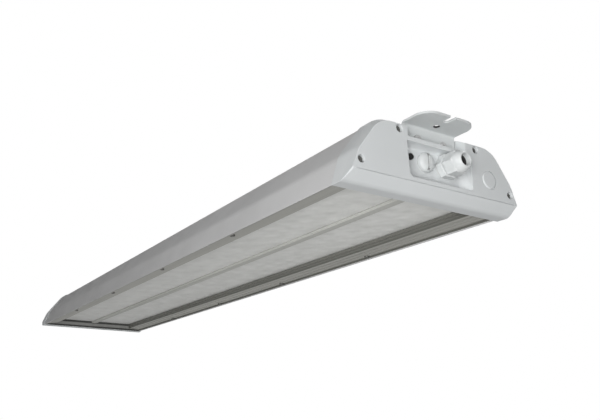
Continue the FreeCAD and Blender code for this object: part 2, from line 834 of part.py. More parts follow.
def make_bar(label, turned, *corners):
    """Plain bar as long as the housing, of the given section."""
    body = new_body(label, turned=turned)
    section = new_sketch(body, "YZ_Plane")
    add_outline(section, list(corners))
    pad(body, section, f"2 * {HOUSING_END}", symmetric=True)


def make_lens(side, turned):
    """Lens panel over the rib's head and the rail's foot, and the sealing strip on that foot."""
    make_bar(f"lens_{side}", turned,
             *box_corners("lens_inner", "lens_outer", "lens_base", "lens_base + lens_thick"))
    make_bar(f"lens_seal_{side}", turned,
             *box_corners("lens_outer - seal_wide", "lens_outer", "rail_top", "lens_base"))


def make_led_board(label, side, number):
    """Metal-core board against the underside of the web."""
    body = new_body(label, x=f"({number} - (board_count - 1) / 2) * 2 * {HOUSING_END} / board_count",
                    y=f"{side}board_middle")
    sketch = new_sketch(body, "XY_Plane", "web_base")
    add_outline(sketch, box_corners("-board_long / 2", "board_long / 2", "-board_wide / 2", "board_wide / 2"))
    pad(body, sketch, "board_thick", reverse=True)


def make_gland():
    """Cable gland: body screwed into the recess floor, clamping nut, rubber sleeve and washer."""
    side, rise = "gland_side", "entry_rise"
    hex_start = f"({RECESS_FLOOR} + washer_thick)"
    neck_start = f"({hex_start} + gland_hex_long)"
    stem = along_x(prism("gland_stem", 12, "entry_radius", "gland_stem_long + washer_thick"),
                   f"{RECESS_FLOOR} - gland_stem_long", side, rise)
    collar = along_x(hexagon("gland_hexagon", "gland_flats", "gland_hex_long"), hex_start, side, rise)
    neck = along_x(prism("gland_neck_turned", 12, "gland_neck", "gland_neck_long"), neck_start, side, rise)
    through = along_x(prism("gland_through", 12, "gland_bore", "4 * gland_stem_long"),
                      f"{RECESS_FLOOR} - 2 * gland_stem_long", side, rise)
    sub_part(cut("gland_body", fuse("gland_solid", stem, collar, neck), through), "gland_body")

    nut_start = f"({RECESS_FLOOR} + nut_start)"
    dome_start = f"({nut_start} + nut_hex_long)"
    nut_hex = along_x(hexagon("nut_hexagon", "nut_flats", "nut_hex_long"), nut_start, side, rise)
    dome = bevelled("nut_dome", 24, "nut_flats / 2", "1.5 * nut_dome_long",
                    ("nut_flats / 2 - nut_lip_radius", "nut_dome_long"))
    along_x(dome, f"{dome_start} - nut_dome_long / 2", side, rise)
    thread = along_x(prism("nut_thread", 24, "gland_neck + entry_gap", "nut_thread_long"), nut_start, side, rise)
    throat = along_x(prism("nut_throat_hole", 24, "nut_throat", "nut_hex_long + 2 * nut_dome_long"),
                     nut_start, side, rise)
    sub_part(cut("gland_nut", fuse("nut_solid", nut_hex, dome), thread, throat), "gland_nut")

    seal_start = f"({RECESS_FLOOR} + seal_start)"
    sleeve = along_x(prism("seal_sleeve_solid", 24, "seal_sleeve", "seal_long"), seal_start, side, rise)
    bore = along_x(cylinder("seal_bore_hole", "seal_bore", "2 * seal_long"), seal_start, side, rise)
    sub_part(cut("gland_seal", sleeve, bore), "gland_seal")
    make_washer("gland_washer", side, "gland_washer_radius", "entry_radius")


def make_washer(label, side, radius, thread_radius):
    disc = along_x(prism(f"{label}_disc", 16, radius, "washer_thick"), RECESS_FLOOR, side, "entry_rise")
    hole = along_x(prism(f"{label}_hole", 16, f"{thread_radius} + 2 * entry_gap", "washer_thick"),
                   RECESS_FLOOR, side, "entry_rise")
    sub_part(cut(label, disc, hole), label)


def make_blanking_plug():
    """Screwed plug with a coin slot across its domed head, and its washer."""
    side, rise = "plug_side", "entry_rise"
    head_start = f"({RECESS_FLOOR} + washer_thick)"
    stem = along_x(prism("plug_stem", 12, "plug_entry", "gland_stem_long + washer_thick"),
                   f"{RECESS_FLOOR} - gland_stem_long", side, rise)
    dome = bevelled("plug_dome", 24, "plug_radius", "plug_thick", ("plug_dome", "plug_thick - plug_rim"),
                    ("plug_dome", "plug_dome"))
    head = along_x(dome, head_start, side, rise)
    slot = doc.addObject("Part::Box", "plug_slot")
    bind(slot, Length="plug_slot_depth", Width="plug_slot_wide", Height="plug_slot_long",
         Placement__Base__x=f"{head_start} + plug_thick - plug_slot_depth",
         Placement__Base__y=f"{side} - plug_slot_wide / 2",
         Placement__Base__z=f"{rise} - plug_slot_long / 2")
    sub_part(cut("blanking_plug", fuse("plug_solid", stem, head), slot), "blanking_plug")
    make_washer("plug_washer", side, "plug_washer_radius", "plug_entry")


def make_vent_plug():
    """Small pressed-in plug that lets the housing breathe."""
    side, rise = "vent_side", "vent_rise"
    stem = along_x(prism("vent_stem_turned", 8, "vent_stem", "vent_stem_long"),
                   f"{RECESS_FLOOR} - vent_stem_long", side, rise)
    dome = bevelled("vent_dome", 16, "vent_radius", "vent_thick", ("vent_bevel", "vent_bevel"))
    head = along_x(dome, RECESS_FLOOR, side, rise)
    sub_part(fuse("vent_plug", stem, head), "vent_plug")


WEB_TOP = "(web_base + web_thick)"
DRIVER_END = "(driver_start + driver_long)"


def make_driver():
    """LED driver in a closed case with a foot at each end, screwed to the web."""
    body = new_body("led_driver")
    case = new_sketch(body, "YZ_Plane", "driver_start")
    case_top = f"{WEB_TOP} + driver_tall"
    add_outline(case, mirrored([
        ("driver_wide / 2", WEB_TOP),
        ("driver_wide / 2", case_top, "driver_edge"),
    ]))
    pad(body, case, "driver_long")
    feet = new_sketch(body, "XY_Plane", WEB_TOP)
    for start, end in (("driver_start - driver_foot_long", "driver_start"),
                       (DRIVER_END, f"{DRIVER_END} + driver_foot_long")):
        add_outline(feet, box_corners(start, end, "-driver_wide / 4", "driver_wide / 4"))
    pad(body, feet, "driver_foot_thick")
    holes = new_sketch(body, "XY_Plane", f"{WEB_TOP} + driver_foot_thick")
    for place in driver_screw_places():
        add_polygon(holes, place, "0", "driver_screw_radius + passage_gap", 8)
    pocket(body, holes, "driver_foot_thick")

    screws = []
    for number, place in enumerate(driver_screw_places(), start=1):
        head = prism(f"driver_screw_head_{number}", 10, "driver_screw_head", "driver_screw_head_thick")
        shank = prism(f"driver_screw_shank_{number}", 6, "driver_screw_radius", "driver_foot_thick")
        foot_top = f"{WEB_TOP} + driver_foot_thick"
        bind(head, Placement__Base__x=place, Placement__Base__z=foot_top)
        bind(shank, Placement__Base__x=place, Placement__Base__z=WEB_TOP)
        screws.append(fuse(f"driver_screw_{number}", head, shank))
    screw_group("driver_screws", screws)


def driver_screw_places():
    return ["driver_start - driver_foot_long / 2", f"{DRIVER_END} + driver_foot_long / 2"]


def make_terminals_and_leads():
    """Supply terminals on the web, three leads from them to the driver, and two from it to the boards."""
    block = new_body("terminal_block")
    section = new_sketch(block, "XZ_Plane")
    back = "terminal_start + terminal_long"
    add_outline(section, [
        ("terminal_start", WEB_TOP),
        (back, WEB_TOP),
        (back, f"{WEB_TOP} + terminal_tall - terminal_step"),
        (f"{back} - terminal_step", f"{WEB_TOP} + terminal_tall"),
        ("terminal_start", f"{WEB_TOP} + terminal_tall"),
    ])
    pad(block, section, "terminal_wide", symmetric=True)

    mains = new_body("mains_leads")
    ends = new_sketch(mains, "YZ_Plane", f"{DRIVER_END}")
    for number in (-1, 0, 1):
        add_polygon(ends, f"{number} * mains_lead_pitch", f"{WEB_TOP} + terminal_tall / 2", "lead_radius", 8)
    pad(mains, ends, f"terminal_start - {DRIVER_END}")

    output = new_body("output_leads")
    level = new_sketch(output, "YZ_Plane", "output_lead_end")
    drop = new_sketch(output, "XY_Plane", "web_base")
    for side in ("output_lead_side", "-output_lead_side"):
        add_polygon(level, side, "lead_rise", "lead_radius", 8)
        add_polygon(drop, "output_lead_end", side, "lead_radius", 8)
    pad(output, level, "driver_start - output_lead_end")
    pad(output, drop, "lead_rise - web_base")


make_housing()
for end, turned in ENDS.items():
    make_end_cap(f"end_cap_{end}", turned, entries=end == "supply")
    make_end_gasket(f"end_gasket_{end}", turned)
    make_cap_screws(f"end_cap_screws_{end}", turned)
    make_bracket(f"bracket_{end}", turned)
    make_bracket_screws(f"bracket_screws_{end}", turned)
for side, turned in SIDES.items():
    make_rail(f"rail_{side}", turned)
    make_rail_screws(f"rail_screws_{side}", turned)
    make_lens(side, turned)
    for number in range(SIZES["board_count"]):
        make_led_board(f"led_board_{side}_{number + 1}", "-" if turned else "", number)
make_gland()
make_blanking_plug()
make_vent_plug()
make_driver()
make_terminals_and_leads()
doc.recompute()

for item in doc.Objects:
    if "Invalid" in item.State or "Error" in item.State:
        raise RuntimeError(f"{item.Label} did not build: {item.State}")
for item in sub_parts:
    if item.Shape.isNull() or not item.Shape.isValid():
        raise RuntimeError(f"{item.Label} has no valid shape")

os.makedirs("parts", exist_ok=True)
for item in sub_parts:
    item.Shape.exportStep(f"parts/{item.Label}.step")
    print(item.Label, len(item.Shape.Solids), round(item.Shape.Volume))
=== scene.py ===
import math

import bmesh
import bpy
import numpy as np
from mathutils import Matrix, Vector
from mathutils.geometry import tessellate_polygon


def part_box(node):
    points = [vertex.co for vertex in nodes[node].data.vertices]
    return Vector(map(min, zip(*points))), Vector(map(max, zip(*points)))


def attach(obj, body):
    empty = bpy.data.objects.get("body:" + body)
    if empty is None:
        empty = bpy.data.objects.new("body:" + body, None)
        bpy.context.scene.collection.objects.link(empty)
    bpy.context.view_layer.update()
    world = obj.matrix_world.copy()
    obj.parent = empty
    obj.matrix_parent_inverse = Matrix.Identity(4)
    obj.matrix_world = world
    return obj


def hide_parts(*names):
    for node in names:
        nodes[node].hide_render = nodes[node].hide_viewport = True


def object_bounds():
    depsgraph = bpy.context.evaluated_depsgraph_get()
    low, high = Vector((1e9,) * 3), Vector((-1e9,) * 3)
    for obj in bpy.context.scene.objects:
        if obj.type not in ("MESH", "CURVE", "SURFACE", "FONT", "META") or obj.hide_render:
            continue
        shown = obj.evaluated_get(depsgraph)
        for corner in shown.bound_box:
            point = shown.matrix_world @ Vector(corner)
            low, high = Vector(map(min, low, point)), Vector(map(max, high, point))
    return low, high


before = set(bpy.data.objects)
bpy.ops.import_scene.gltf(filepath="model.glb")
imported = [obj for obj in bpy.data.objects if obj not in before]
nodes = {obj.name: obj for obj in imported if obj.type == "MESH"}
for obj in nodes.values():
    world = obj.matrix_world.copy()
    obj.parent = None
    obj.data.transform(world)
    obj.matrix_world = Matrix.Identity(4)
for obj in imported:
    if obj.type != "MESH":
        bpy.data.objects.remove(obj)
cad_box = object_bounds()

# Housing: one aluminium extrusion with sloping sides, powder coated light grey. It holds the gear chamber,
# the LED channel with a rib of T section down its middle, and the screw ports for the end caps.
# Sizes here and below are in millimetres: heights from the caps' underside, half widths from the middle.
HANG_HEIGHT = -cad_box[0][2] * 1000
HOUSING_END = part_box("housing")[1].x * 1000
WALL = 3
LIP, BEND, CROWN = (113, 1.5, 0.25), (104.5, 31, 30), (72.8, 74.5, 24)


def outline(corners, steps=10):
    """Closed outline through corners (across, up, radius). A round is an arc tangent to both of its sides:
    its centre lies on the bisector at radius / sin(half angle), and the arc spans pi less the angle between
    them."""
    point, radius = np.split(np.array(corners, float), [2], axis=1)
    back = np.roll(point, 1, 0) - point
    ahead = np.roll(point, -1, 0) - point
    back /= np.linalg.norm(back, axis=1, keepdims=True)
    ahead /= np.linalg.norm(ahead, axis=1, keepdims=True)
    half = np.arccos(np.clip((back * ahead).sum(1, keepdims=True), -1, 1)) / 2
    bisector = (back + ahead) / np.linalg.norm(back + ahead, axis=1, keepdims=True)
    centre = point + bisector * radius / np.sin(half)
    turn = np.sign(ahead[:, :1] * back[:, 1:] - ahead[:, 1:] * back[:, :1])
    angle = np.arctan2(-bisector[:, 1:], -bisector[:, :1])
    angle = angle + turn * (np.pi - 2 * half) * np.linspace(-0.5, 0.5, steps + 1)
    arc = np.stack([np.cos(angle), np.sin(angle)], -1) * radius[:, None]
    return (centre[:, None] + arc).reshape(-1, 2)


def mirrored(half):
    """Corners of a whole outline from its right half, listed from the bottom middle to the top middle."""
    return half + [(-across, *rest) for across, *rest in reversed(half)]


def fill(loops):
    """Triangles between an outer outline and the ones inside it, turned anticlockwise."""
    points = np.concatenate(loops)
    corner = np.array(tessellate_polygon([loop.tolist() for loop in loops]))
    one, two, three = points[corner[:, 0]], points[corner[:, 1]], points[corner[:, 2]]
    area = np.cross(two - one, three - one)
    corner[area < 0] = corner[area < 0][:, ::-1]
    return corner[np.abs(area) > 1e-9]


def loft(sections):
    """Solid through outlines of equal count, each given as (along, outline): neighbours are joined by
    quads, and the first and last are filled."""
    count = len(sections[0][1])
    points = np.concatenate([np.column_stack([np.full(count, x), loop]) for x, loop in sections])
    row = np.arange(len(sections) - 1)[:, None] * count
    here = row + np.arange(count)
    after = row + (np.arange(count) + 1) % count
    quads = np.stack([here, after, after + count, here + count], -1).reshape(-1, 4)
    first = fill([sections[0][1]])[:, ::-1]
    last = fill([sections[-1][1]]) + len(points) - count
    return points, quads.tolist() + first.tolist() + last.tolist()


def swept(loops, start, end):
    """Bar whose section is an outer outline with others inside it, carried from start to end."""
    section = np.concatenate(loops)
    count = len(section)
    points = np.concatenate([np.column_stack([np.full(count, x), section]) for x in (start, end)])
    sizes = np.array([len(loop) for loop in loops])
    first = np.repeat(np.cumsum(sizes) - sizes, sizes)
    here = np.arange(count)
    after = first + (here - first + 1) % np.repeat(sizes, sizes)
    quads = np.column_stack([here, after, after + count, here + count])
    ends = fill(loops)
    return points, quads.tolist() + ends[:, ::-1].tolist() + (ends + count).tolist()


def mesh_of(name, points, faces):
    """Mesh in the frame's metres and height, with doubled points merged and faces turned outwards."""
    mesh = bpy.data.meshes.new(name)
    place = (np.asarray(points, float) - (0, 0, HANG_HEIGHT)) / 1000
    mesh.from_pydata(place.tolist(), [], faces)
    edit = bmesh.new()
    edit.from_mesh(mesh)
    bmesh.ops.remove_doubles(edit, verts=edit.verts, dist=1e-6)
    bmesh.ops.dissolve_degenerate(edit, edges=edit.edges, dist=1e-7)
    bmesh.ops.recalc_face_normals(edit, faces=edit.faces)
    edit.to_mesh(mesh)
    edit.free()
    return mesh


def piece(name, mesh, material, replaced, soft_edge=0.0, sharp_angle=32):
    """Puts a finished mesh into the scene: smooth but for its sharp edges, which may get a small bevel."""
    mesh.materials.clear()
    mesh.materials.append(material)
    mesh.shade_smooth()
    mesh.set_sharp_from_angle(angle=math.radians(sharp_angle))
    item = bpy.data.objects.new(name, mesh)
    bpy.context.scene.collection.objects.link(item)
    if soft_edge:
        bevel = item.modifiers.new("eased edges", "BEVEL")
        bevel.width = soft_edge / 1000
        bevel.segments = 2
        bevel.limit_method = "ANGLE"
        bevel.angle_limit = math.radians(sharp_angle)
        bevel.harden_normals = True
    normals = item.modifiers.new("flat faces stay flat", "WEIGHTED_NORMAL")
    normals.keep_sharp = True
    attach(item, "root")
    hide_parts(*replaced)


def new_finish(name, roughness, metallic=0.0, specular=0.5):
    """Material with a Principled shader, and its node tree, shader and object coordinates."""
    material = bpy.data.materials.new(name)
    material.use_nodes = True
    tree = material.node_tree
    shader = tree.nodes["Principled BSDF"]
    shader.inputs["Roughness"].default_value = roughness
    shader.inputs["Metallic"].default_value = metallic
    shader.inputs["Specular IOR Level"].default_value = specular
    place = tree.nodes.new("ShaderNodeTexCoord").outputs["Object"]
    return material, tree, shader, place


def noise(tree, place, scale, detail=2.0, stretch=(1, 1, 1)):
    """Grey noise on object coordinates; a stretch below 1 draws it out along that axis."""
    mapping = tree.nodes.new("ShaderNodeMapping")
    mapping.inputs["Scale"].default_value = stretch
    texture = tree.nodes.new("ShaderNodeTexNoise")
    texture.inputs["Scale"].default_value = scale
    texture.inputs["Detail"].default_value = detail
    tree.links.new(place, mapping.inputs["Vector"])
    tree.links.new(mapping.outputs["Vector"], texture.inputs["Vector"])
    return texture.outputs["Fac"]


def ramp(tree, source, stops, target):
    """Colour or grey ramp from a source into a shader's socket."""
    node = tree.nodes.new("ShaderNodeValToRGB")
    for position, _ in stops[2:]:
        node.color_ramp.elements.new(position)
    for element, (position, colour) in zip(node.color_ramp.elements, stops):
        element.position = position
        element.color = (*colour, 1)
    tree.links.new(source, node.inputs["Fac"])
    tree.links.new(node.outputs["Color"], target)


def grey_range(tree, source, low, high, target):
    """Maps noise to a range of values in a shader's socket."""
    node = tree.nodes.new("ShaderNodeMapRange")
    node.inputs["From Min"].default_value = 0.3
    node.inputs["From Max"].default_value = 0.7
    node.inputs["To Min"].default_value = low
    node.inputs["To Max"].default_value = high
    tree.links.new(source, node.inputs["Value"])
    tree.links.new(node.outputs["Result"], target)


def bump(tree, height, strength, distance, shader):
    """Fine relief of a surface: the height source moves it by up to the distance, in metres."""
    node = tree.nodes.new("ShaderNodeBump")
    node.inputs["Strength"].default_value = strength
    node.inputs["Distance"].default_value = distance
    tree.links.new(height, node.inputs["Height"])
    tree.links.new(node.outputs["Normal"], shader.inputs["Normal"])


def powder_coat(name, low, high, specular=0.25):
    """Baked powder coat: broad faint tone changes, and the fine orange peel that such paint has."""
    material, tree, shader, place = new_finish(name, 0.55, specular=specular)
    ramp(tree, noise(tree, place, 9, 4), [(0.35, low), (0.65, high)], shader.inputs["Base Color"])
    grey_range(tree, noise(tree, place, 40, 3), 0.5, 0.64, shader.inputs["Roughness"])
    bump(tree, noise(tree, place, 700, 2), 0.12, 0.0004, shader)
    return material


def mark_faces(mesh, chosen):
    """Face attribute with the share, 0 to 1, that chosen gives for the faces' centres in millimetres."""
    centre = np.empty(len(mesh.polygons) * 3)
    mesh.polygons.foreach_get("center", centre)
    share = chosen(*(centre.reshape(-1, 3) * 1000 + (0, 0, HANG_HEIGHT)).T).astype(float)
    mesh.attributes.new("marked", "FLOAT", "FACE").data.foreach_set("value", share)


def bare_finish_and_painted_shade(material, low, high, metallic):
    """Marked faces' own streaky tone and metallic share: the rib's bare finish, elsewhere painted shade."""
    tree = material.node_tree
    shader = tree.nodes["Principled BSDF"]
    first = shader.inputs["Base Color"].links[0].from_socket
    mark = tree.nodes.new("ShaderNodeAttribute")
    mark.attribute_name = "marked"
    mixed = tree.nodes.new("ShaderNodeMixRGB")
    place = tree.nodes["Texture Coordinate"].outputs["Object"]
    ramp(tree, noise(tree, place, 90, 4, (0.02, 1, 1)), [(0.3, low), (0.7, high)], mixed.inputs["Color2"])
    tree.links.new(mark.outputs["Fac"], mixed.inputs["Fac"])
    tree.links.new(first, mixed.inputs["Color1"])
    tree.links.new(mixed.outputs["Color"], shader.inputs["Base Color"])
    share = shader.inputs["Metallic"]
    if metallic != share.default_value:
        grey_range(tree, mark.outputs["Fac"], share.default_value, metallic, share)


low_slope = (LIP[0] - BEND[0]) / (BEND[1] - LIP[1])
high_slope = (BEND[0] - CROWN[0]) / (CROWN[1] - BEND[1])


def wall_inside(height):
    """Half width of the wall's inner face: the outer slope at that height less the wall's thickness."""
    if height < BEND[1]:
        return LIP[0] - (height - LIP[1]) * low_slope - WALL
    return BEND[0] - (height - BEND[1]) * high_slope - WALL


housing_outer = outline(mirrored([
    (5.0, 13, 0.4), (6.5, 14.5, 0.4), (6.5, 16.2, 0.3), (2.5, 16.2, 0.2), (2.5, 24, 0.2), (92, 24, 0.4),
    (92, 7.5, 0.4), (102.55, 7.5, 0.3), (102.55, 13.5, 0.3), (106.45, 13.5, 0.3), (106.45, 7.5, 0.3),
    (109.77, 7.5, 0.5), (111.5, 1.5, 0.2), LIP, BEND, CROWN]), 8)
gear_chamber = outline(mirrored([
    (wall_inside(27), 27, 1), (101.5, 31, 20), (wall_inside(72), 72, 21)]), 8)[::-1]
side_chamber = outline([
    (94, 10.5, 0.5), (101.05, 10.5, 0.5), (101.05, 15, 0.5), (wall_inside(15), 15, 0.5),
    (wall_inside(24), 24, 0.5), (94, 24, 0.5)], 4)[::-1]
housing_holes = [gear_chamber, side_chamber, (side_chamber * (-1, 1))[::-1]]
housing_paint = powder_coat("housing powder coat", (0.59, 0.59, 0.59), (0.63, 0.63, 0.63), 0.12)
housing_mesh = mesh_of("housing", *swept([housing_outer, *housing_holes], -HOUSING_END, HOUSING_END))
RIB_HALF, RIB_TOP = 6.6, 20
mark_faces(housing_mesh, lambda x, y, z: (abs(y) < RIB_HALF) & (z < RIB_TOP))
bare_finish_and_painted_shade(housing_paint, (0.50, 0.505, 0.475), (0.60, 0.605, 0.57), 0.15)
piece("housing_body", housing_mesh, housing_paint, ["housing"])

# End caps: aluminium castings, powder coated like the housing but a touch cooler. Each has a straight rim,
# a bevel round its front, a recess for the cable entries and a pocket over it for the bracket. They are
# screwed to the housing's ports; the far cap is the same casting with no entries cut.
SKIRT = 3.5
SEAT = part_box("end_cap_supply")[0].x * 1000 + SKIRT
CAP_FACE = 28.0
CUT_BACK, CUT_FRONT = -1, CAP_FACE + 5
BEVEL_START, BEVEL_EASE = 12.5, 4.0
RIM = mirrored([(115, 0, 0.3), (106, 31.6, 30), (73.6, 76, 26.5)])
ENTRY_RISE = 38
GLAND_SIDE, PLUG_SIDE, VENT_SIDE, VENT_RISE = 16.7, -10.8, -30.8, 40.8
SUNK_SCREWS = [(102, 20.1), (-102, 20.1), (53, 62.8), (-53, 62.8)]
BRACKET_SCREWS = [(18, 63.5), (-18, 63.5)]


def face_outline(inset):
    """Front outline of the cap, drawn in by an inset all round."""
    corners = [
        (113 - inset, 8.7 + inset, 1.6), (104.3 - inset, 31.4, 30), (77.5 - inset / 2, 68.2 - inset, 29)]
    return outline(mirrored(corners), 12)


def cap_casting(edge=0.6):
    """Loft from rim to face: straight, then a bevel that is linear in depth and starts in a parabola, then
    a quarter round of the edge."""
    rim, brow = outline(RIM, 12), face_outline(0)
    brow_depth = CAP_FACE - edge
    sections = [(-SKIRT, rim)]
    for depth in (*np.linspace(BEVEL_START - BEVEL_EASE, BEVEL_START + BEVEL_EASE, 9), brow_depth):
        past = depth - BEVEL_START
        eased = (past + BEVEL_EASE) ** 2 / (4 * BEVEL_EASE) if past < BEVEL_EASE else past
        sections.append((depth, rim + (brow - rim) * eased / (brow_depth - BEVEL_START)))
    for angle in np.radians((18, 36, 54, 72, 90)):
        depth = brow_depth + edge * np.sin(angle)
        sections.append((depth, face_outline(edge * (1 - np.cos(angle)))))
    return loft(sections)


def hollow(corners, floor, feet, lip):
    """Cutter for a pocket in the face. Its mouth flares by a quarter round. Its left, right, low and high
    walls meet the floor in feet, each a quarter ellipse (across, up) in section."""
    side, rise, radius = np.array(corners, float).T

    def drawn_in(left, right, low, high):
        """Outline with its four walls moved inwards."""
        moved_side = np.where(side > side.mean(), side - right, side + left)
        moved_rise = np.where(rise > rise.mean(), rise - high, rise + low)
        return outline(np.column_stack([moved_side, moved_rise, radius]), 8)

    def section(height):
        """Outline at a height above the floor: a foot (across, up) draws its wall in by across times
        1 - sqrt(1 - (1 - height / up)^2), and above the foot by nothing."""
        to_go = [(across, 1 - min(height / up, 1)) for across, up in feet]
        return drawn_in(*[across * (1 - math.sqrt(1 - share ** 2)) for across, share in to_go])

    top = CAP_FACE - lip - floor
    rises = np.outer([up for _, up in feet], 1 - np.cos(np.linspace(0, math.pi / 2, 8)))
    heights = np.unique(np.append(np.minimum(rises, top).round(3), top))
    flare = [(CAP_FACE - lip + lip * math.sin(a), drawn_in(*[lip * (math.cos(a) - 1)] * 4))
             for a in np.linspace(0.3, math.pi / 2, 4)]
    mouth = drawn_in(-lip, -lip, -lip, -lip)
    return loft([(floor + height, section(height)) for height in heights] + flare + [(CUT_FRONT, mouth)])


def lathe(profile, sides=48, closed=False):
    """Turned shape along its first axis. A profile row is (along, radius, hexagon share): a hexagon's
    radius is that of its flats over the cosine of the angle from the nearest flat, mixed with the round by
    the share."""
    along, radius, share = np.array([(*row, 0)[:3] for row in profile], float).T
    angle = np.linspace(0, 2 * np.pi, sides, endpoint=False)
    from_flat = (angle + np.pi / 6) % (np.pi / 3) - np.pi / 6
    reach = radius[:, None] * (1 + share[:, None] * (1 / np.cos(from_flat) - 1))
    points = np.stack([along[:, None] + 0 * reach, reach * np.sin(angle), reach * np.cos(angle)], -1)
    rows = len(along)
    strips = np.arange(rows if closed else rows - 1)[:, None]
    here, after = np.arange(sides), (np.arange(sides) + 1) % sides
    below, above = strips * sides, (strips + 1) % rows * sides
    quads = np.stack([below + here, below + after, above + after, above + here], -1).reshape(-1, 4)
    return points.reshape(-1, 3), quads.tolist()


def set_at(shape, x, side, rise):
    """Shape moved from the origin to a place."""
    points, faces = shape
    return points + (x, side, rise), faces


def several(shape, places):
    """Copies of one turned shape at several places, in one list of points and quads."""
    points, quads = shape
    places = np.asarray(places, float)
    every = points[None] + places[:, None]
    joined = np.array(quads)[None] + np.arange(len(places))[:, None, None] * len(points)
    return every.reshape(-1, 3), joined.reshape(-1, 4).tolist()


def sunk_hole(side, rise, radius, depth, lip=0.4):
    """Cutter for a round hole of a depth below the face, whose mouth flares by a quarter round."""
    mouth = [(CAP_FACE - lip + lip * math.sin(a), radius + lip * (1 - math.cos(a)))
             for a in (0, 0.5, 1, math.pi / 2)]
    floor = CAP_FACE - depth
    profile = [(floor, 0), (floor, radius), *mouth, (CUT_FRONT, radius + lip), (CUT_FRONT, 0)]
    return set_at(lathe(profile, 32), 0, side, rise)


def cut_away(mesh, cutters, added=()):
    """Mesh with each added solid joined to it and then each cutter's solid taken out of it."""
    item = bpy.data.objects.new("casting", mesh)
    bpy.context.scene.collection.objects.link(item)
    tools = []
    for number, shape in enumerate((*added, *cutters)):
        tool = bpy.data.objects.new(f"cutter_{number}", mesh_of(f"cutter_{number}", *shape))
        bpy.context.scene.collection.objects.link(tool)
        boolean = item.modifiers.new(f"cut {number}", "BOOLEAN")
        boolean.operation = "UNION" if number < len(added) else "DIFFERENCE"
        boolean.solver = "EXACT"
        boolean.object = tool
        tools.append(tool)
    bpy.context.view_layer.update()
    result = bpy.data.meshes.new_from_object(item.evaluated_get(bpy.context.evaluated_depsgraph_get()))
    for used in (item, *tools):
        bpy.data.objects.remove(used)
    return result


def block(corners, back, front):
    """Cutter with straight walls between two depths."""
    walls = outline([(*corner, 0.3) for corner in corners], 2)
    return loft([(back, walls), (front, walls)])


def box_corners(side_low, side_high, low, high):
    """Corners of an upright rectangle, anticlockwise."""
    return [(side_low, low), (side_high, low), (side_high, high), (side_low, high)]


def drilled(side, rise, radius, back, front):
    """Cutter for a plain round hole between two depths."""
    return set_at(lathe([(back, 0), (back, radius), (front, radius), (front, 0)], 24), 0, side, rise)


def at_end(shape, sign):
    """Shape set on the supply end's seat for a sign of 1, or turned half round to the far end's for -1."""
    points, faces = shape
    return (points + (SEAT, 0, 0)) * (sign, sign, 1), faces


RECESS_DEPTH, POCKET_DEPTH, SUNK_DEPTH = 11.8, 16, 5
RECESS_FLOOR, POCKET_FLOOR = CAP_FACE - RECESS_DEPTH, CAP_FACE - POCKET_DEPTH
RECESS_FEET = [(1.5, 1.5), (11, 11.3), (1.5, 1.5), (2.7, 11)]
POCKET_FEET = [(1, 1)] * 4
SEAM_HALF, SEAM_BASE, SEAM_TOP, SEAM_DEPTH = 108, 9.4, 10.0, 1.2
BOSS_BACK, LOW_CORE_FRONT, SIDE_CORE_FRONT, CAST_WALL = 10, 12, 24.5, 3
ENTRY_CORE, LOW_CORE = (-46.5, 46.5, 27, 54), (-92, 92, 6, 24)
HEAD_HOLE, SHANK_HOLE, BRACKET_HOLE = 4.1, 2.2, 2.55
ENTRY_HOLES = [(GLAND_SIDE, ENTRY_RISE, 10.1), (PLUG_SIDE, ENTRY_RISE, 8.1), (VENT_SIDE, VENT_RISE, 2.5)]
recess_corners = [(-41.2, 14.7, 6), (45, 14.7, 3), (45, 52.9, 1.5), (-43.5, 52.9, 1.5)]
pocket_corners = [(-42.2, 57.5, 1.5), (38, 57.5, 1.5), (38, 100, 1.5), (-42.2, 100, 1.5)]
skirt_inside = outline(mirrored([(113.2, 1.3, 1.3), (104.7, 31, 30), (73, 74.7, 24)]), 12)
side_core = [(49.5, 27), (98, 27), (95, 30), (78.5, 60), (62, 60), (62, 54), (49.5, 54)]
DISC_RADIUS, DISC_PROUD, DISC_ROUND, DISC_PLACE = 9.6, 1.0, 1.6, (70.6, 31.9)
SLOT_WIDE, SLOT_DEPTH, SLOT_HALF_TURN = 1.4, 1.5, 1.4
disc_edge = [(CAP_FACE + DISC_PROUD * math.sin(a), DISC_RADIUS - DISC_ROUND * (1 - math.cos(a)))
             for a in np.linspace(0, math.pi / 2, 6)]
disc = lathe([(CAP_FACE - 1, 0), (CAP_FACE - 1, DISC_RADIUS), *disc_edge, (CAP_FACE + DISC_PROUD, 0)], 48)
knock_out = set_at(disc, 0, *DISC_PLACE)
slot_turn = np.linspace(-SLOT_HALF_TURN, SLOT_HALF_TURN, 25)
slot_arc = np.column_stack([np.cos(slot_turn), np.sin(slot_turn)])
slot_walls = np.concatenate([slot_arc * (DISC_RADIUS + SLOT_WIDE), slot_arc[::-1] * DISC_RADIUS]) + DISC_PLACE
